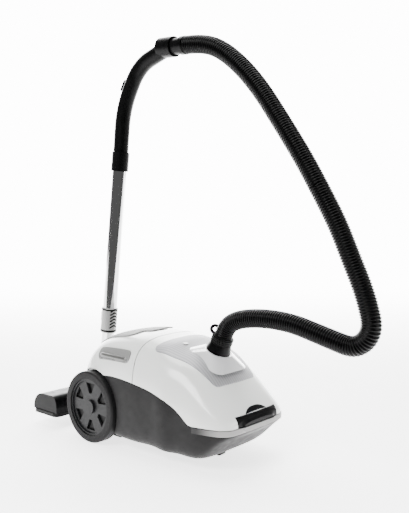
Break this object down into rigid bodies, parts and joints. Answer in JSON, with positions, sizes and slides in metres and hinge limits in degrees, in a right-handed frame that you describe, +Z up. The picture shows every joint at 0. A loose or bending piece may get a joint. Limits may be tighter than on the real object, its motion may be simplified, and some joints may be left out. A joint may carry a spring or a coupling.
{
  "type": "canister vacuum cleaner",
  "caption": "Canister vacuum cleaner with a white and charcoal casing, large rear wheels, ribbed hose, telescopic chrome wand and parked floor nozzle.",
  "frame": {"origin": "on the floor, midway between the parked nozzle's back edge and the machine's nose", "axes": "+X towards the nose, +Y to the machine's left, +Z up"},
  "size_m": [0.8902, 0.282, 0.9352],
  "materials": {
    "white_shell": "glossy white moulded casing",
    "dark_shell": "satin charcoal moulded casing",
    "silver_trim": "silver metallic painted plastic",
    "bright_collar": "bright silver glossy plastic",
    "black_plastic": "black moulded plastic",
    "grey_band": "light grey glossy band",
    "dark_hub": "dark grey wheel hub",
    "tyre_rubber": "black rubber tyre",
    "hose_rubber": "black ribbed hose",
    "chrome_tube": "chromed steel tube",
    "steel_pin": "steel pins, axles and shaft",
    "motor_metal": "motor can and impeller",
    "board_green": "control board",
    "filter_white": "filter fleece and foam",
    "bag_fleece": "non-woven dust bag",
    "brush_bristle": "bristle strip"
  },
  "bodies": {
    "machine": {"lower_shell": "dark_shell", "rear_cover": "white_shell", "front_bumper": "grey_band", "lid_hinge_pins": "steel_pin", "carry_handle_pin": "steel_pin", "motor_bulkhead": "black_plastic", "motor_housing": "black_plastic", "motor_mount_ring": "tyre_rubber", "motor": "motor_metal", "motor_filter_frame": "black_plastic", "motor_filter": "filter_white", "reel_spindle": "steel_pin", "reel_stand": "black_plastic", "control_board": "board_green", "exhaust_grille": "dark_shell", "exhaust_filter": "filter_white", "cord_gland": "black_plastic", "dust_bag": "bag_fleece", "bag_collar": "board_green", "bag_holder": "black_plastic", "skid_feet": "black_plastic", "case_screws": "steel_pin", "parking_bracket": "black_plastic", "rear_axles": "steel_pin", "hose": "hose_rubber"},
    "fan": {"motor_shaft": "steel_pin", "fan_impeller": "motor_metal"},
    "reel": {"cord_reel": "black_plastic"},
    "wheel_right": {"wheel_right_tyre": "tyre_rubber", "wheel_right_hub": "dark_hub"},
    "wheel_left": {"wheel_left_tyre": "tyre_rubber", "wheel_left_hub": "dark_hub"},
    "caster": {"caster_fork": "black_plastic", "caster_axle": "steel_pin"},
    "caster_roller": {"caster_wheel": "black_plastic"},
    "lid": {"lid_shell": "white_shell", "lid_hinge_arms": "black_plastic", "lid_panel": "silver_trim", "port_collar": "bright_collar", "bag_indicator": "silver_trim"},
    "latch": {"lid_latch": "black_plastic"},
    "power_pedal_body": {"power_pedal": "silver_trim"},
    "rewind_pedal_body": {"rewind_pedal": "silver_trim"},
    "handle": {"carry_handle": "silver_trim"},
    "hose_swivel": {"hose_connector": "black_plastic"},
    "wand_lower": {"wand_lower_tube": "chrome_tube", "nozzle_elbow": "black_plastic"},
    "nozzle": {"nozzle_sole": "dark_shell", "nozzle_cover": "dark_shell", "nozzle_neck_pin": "steel_pin", "nozzle_brush": "brush_bristle"},
    "nozzle_rollers": {"nozzle_wheels": "black_plastic"},
    "rocker": {"nozzle_rocker": "silver_trim"},
    "wand_upper": {"wand_upper_tube": "chrome_tube", "wand_collar": "silver_trim", "wand_handle": "black_plastic", "handle_cuff": "black_plastic"},
    "release_button": {"collar_button": "black_plastic"},
    "regulator": {"air_slider": "black_plastic"},
    "hose_end": {"hose_cuff": "black_plastic"}
  },
  "joints": [
    {"name": "fan_spin", "type": "hinge", "parent": "machine", "child": "fan", "pos_m": [0.009, -0.042, 0.104], "axis": [1, 0, 0], "continuous": true},
    {"name": "reel_spin", "type": "hinge", "parent": "machine", "child": "reel", "pos_m": [-0.038, 0.057, 0.116], "axis": [0, 1, 0], "continuous": true},
    {"name": "wheel_right_roll", "type": "hinge", "parent": "machine", "child": "wheel_right", "pos_m": [-0.084, -0.126, 0.0835], "axis": [0, 1, 0], "continuous": true},
    {"name": "wheel_left_roll", "type": "hinge", "parent": "machine", "child": "wheel_left", "pos_m": [-0.084, 0.126, 0.0835], "axis": [0, 1, 0], "continuous": true},
    {"name": "caster_swivel", "type": "hinge", "parent": "machine", "child": "caster", "pos_m": [0.205, 0, 0.04], "axis": [0, 0, 1], "continuous": true},
    {"name": "caster_roll", "type": "hinge", "parent": "caster", "child": "caster_roller", "pos_m": [0.197, 0, 0.015], "axis": [0, 1, 0], "continuous": true},
    {"name": "lid_hinge", "type": "hinge", "parent": "machine", "child": "lid", "pos_m": [0.038, 0, 0.2375], "axis": [0, -1, 0], "range_deg": [0, 60], "deforming": ["hose"]},
    {"name": "latch_pull", "type": "slide", "parent": "lid", "child": "latch", "axis": [1, 0, 0], "range_m": [0, 0.004], "stiffness_N_per_m": 400},
    {"name": "power_press", "type": "slide", "parent": "machine", "child": "power_pedal_body", "axis": [0, 0.6, -0.8], "range_m": [0, 0.004], "stiffness_N_per_m": 600},
    {"name": "rewind_press", "type": "slide", "parent": "machine", "child": "rewind_pedal_body", "axis": [0, -0.6, -0.8], "range_m": [0, 0.004], "stiffness_N_per_m": 600},
    {"name": "carry_handle_lift", "type": "hinge", "parent": "machine", "child": "handle", "pos_m": [0, 0, 0.248], "axis": [0, 1, 0], "range_deg": [0, 40]},
    {"name": "hose_port_swivel", "type": "hinge", "parent": "lid", "child": "hose_swivel", "pos_m": [0.1835, 0, 0.21], "axis": [0.3931, 0, 0.9195], "continuous": true},
    {"name": "wand_lift", "type": "slide", "parent": "machine", "child": "wand_lower", "axis": [0, 0, 1], "range_m": [0, 0.06], "deforming": ["hose"]},
    {"name": "nozzle_tilt", "type": "hinge", "parent": "wand_lower", "child": "nozzle", "pos_m": [-0.24, 0, 0.062], "axis": [0, -1, 0], "range_deg": [0, 40]},
    {"name": "nozzle_roll", "type": "hinge", "parent": "nozzle", "child": "nozzle_rollers", "pos_m": [-0.227, 0, 0.035], "axis": [0, 1, 0], "continuous": true},
    {"name": "rocker_tip", "type": "hinge", "parent": "nozzle", "child": "rocker", "pos_m": [-0.279, 0, 0.072], "axis": [0, 1, 0], "range_deg": [-6, 6]},
    {"name": "wand_extend", "type": "slide", "parent": "wand_lower", "child": "wand_upper", "axis": [0.1191, 0, 0.9929], "range_m": [0, 0.3], "deforming": ["hose"]},
    {"name": "release_press", "type": "slide", "parent": "wand_upper", "child": "release_button", "axis": [0.1191, 0, 0.9929], "range_m": [0, 0.006], "stiffness_N_per_m": 300},
    {"name": "regulator_slide", "type": "slide", "parent": "wand_upper", "child": "regulator", "axis": [0.5269, 0, 0.8499], "range_m": [0, 0.006]},
    {"name": "hose_cuff_swivel", "type": "hinge", "parent": "wand_upper", "child": "hose_end", "pos_m": [0.098, 0, 0.9068], "axis": [0.9976, 0, -0.0698], "continuous": true}
  ]
}
